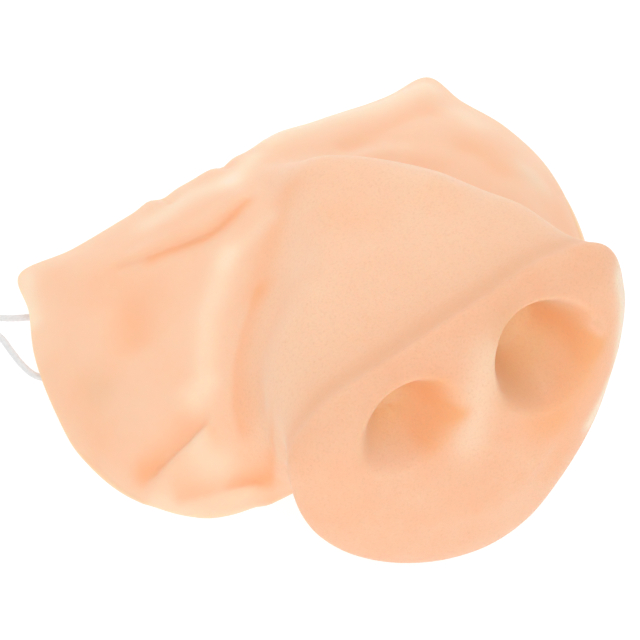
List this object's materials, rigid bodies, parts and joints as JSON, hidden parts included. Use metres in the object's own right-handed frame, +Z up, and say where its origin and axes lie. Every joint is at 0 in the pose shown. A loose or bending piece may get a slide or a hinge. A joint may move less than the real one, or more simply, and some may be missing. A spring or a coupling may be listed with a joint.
{
  "type": "costume pig nose",
  "caption": "Hollow latex pig snout with a broad disc, blind nostrils, a tapering barrel and soft cheek wings, held on the face by a thin white elastic",
  "frame": {"origin": "middle of the footprint of the nose on the table, without the elastic", "axes": "+X across the cheek wings, -Y the way the snout disc looks, +Z up from the open rim"},
  "size_m": [0.1699, 0.134, 0.06],
  "materials": {
    "latex": "matte peach latex with fine grain",
    "patch": "matte latex patch, glued on inside",
    "elastic": "white braided elastic"
  },
  "bodies": {
    "root": {"snout_shell": "latex", "elastic_tab_left": "patch", "elastic_tab_right": "patch", "elastic_cord": "elastic"}
  },
  "joints": []
}
